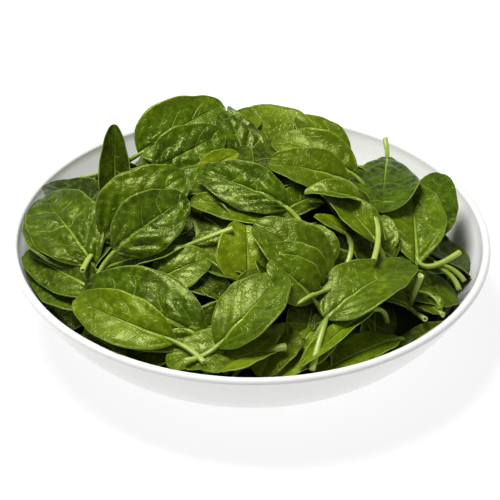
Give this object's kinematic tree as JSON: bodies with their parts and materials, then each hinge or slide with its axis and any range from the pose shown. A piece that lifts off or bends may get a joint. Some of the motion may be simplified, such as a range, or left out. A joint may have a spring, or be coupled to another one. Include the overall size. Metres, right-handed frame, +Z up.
{
  "type": "bowl of spinach leaves",
  "caption": "Low round white bowl with a flat foot and flared wall, heaped above its rim with loose fresh green spinach leaves and their cut stalks.",
  "frame": {"origin": "middle of the bowl's flat foot, on the table", "axes": "+Z up; -Y to the front, where the picture looks from; +X to the right"},
  "size_m": [0.26, 0.26, 0.1023],
  "materials": {
    "glazed_bowl": "smooth white glaze, soft gloss",
    "spinach_leaf": "fresh leaf, waxy satin, deep green with paler veins and stalks"
  },
  "bodies": {
    "root": {"bowl": "glazed_bowl", "spinach_heap": "spinach_leaf"}
  },
  "joints": []
}
